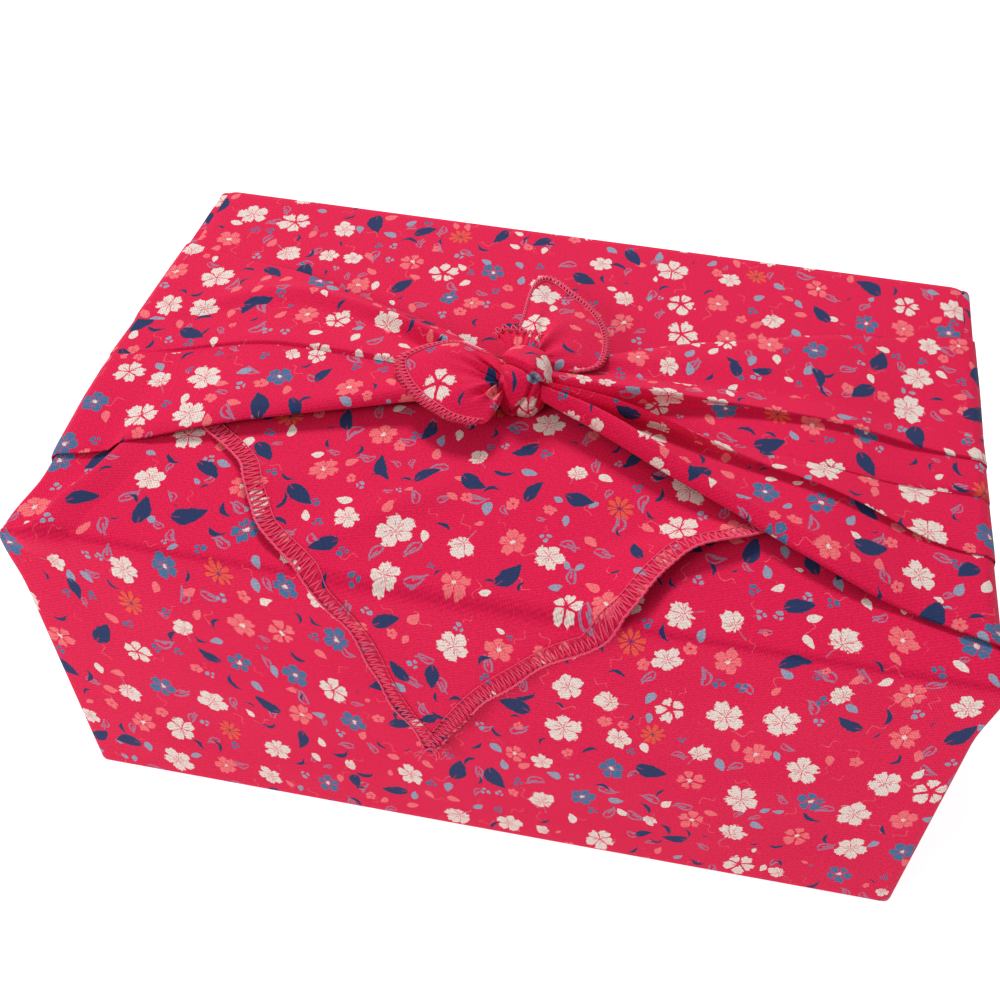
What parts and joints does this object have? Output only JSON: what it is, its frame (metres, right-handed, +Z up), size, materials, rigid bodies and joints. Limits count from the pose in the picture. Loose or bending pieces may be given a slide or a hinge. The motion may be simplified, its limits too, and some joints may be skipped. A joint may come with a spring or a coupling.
{
  "type": "furoshiki wrap",
  "caption": "Printed cotton furoshiki folded into a hollow box-shaped gift wrap, its side corners gathered over the top and tied in a square knot.",
  "frame": {"origin": "middle of the flat underside, on the surface that the wrap rests on", "axes": "+X along the long side of the wrapped box, towards the right band; -Y towards the face that the tip of the back corner hangs down; +Z up, towards the knot"},
  "size_m": [0.299, 0.1967, 0.1535],
  "materials": {
    "cloth": "matte printed cotton crepe with a fine diagonal weave and overlocked hems"
  },
  "bodies": {
    "root": {"furoshiki_cloth": "cloth"}
  },
  "joints": []
}
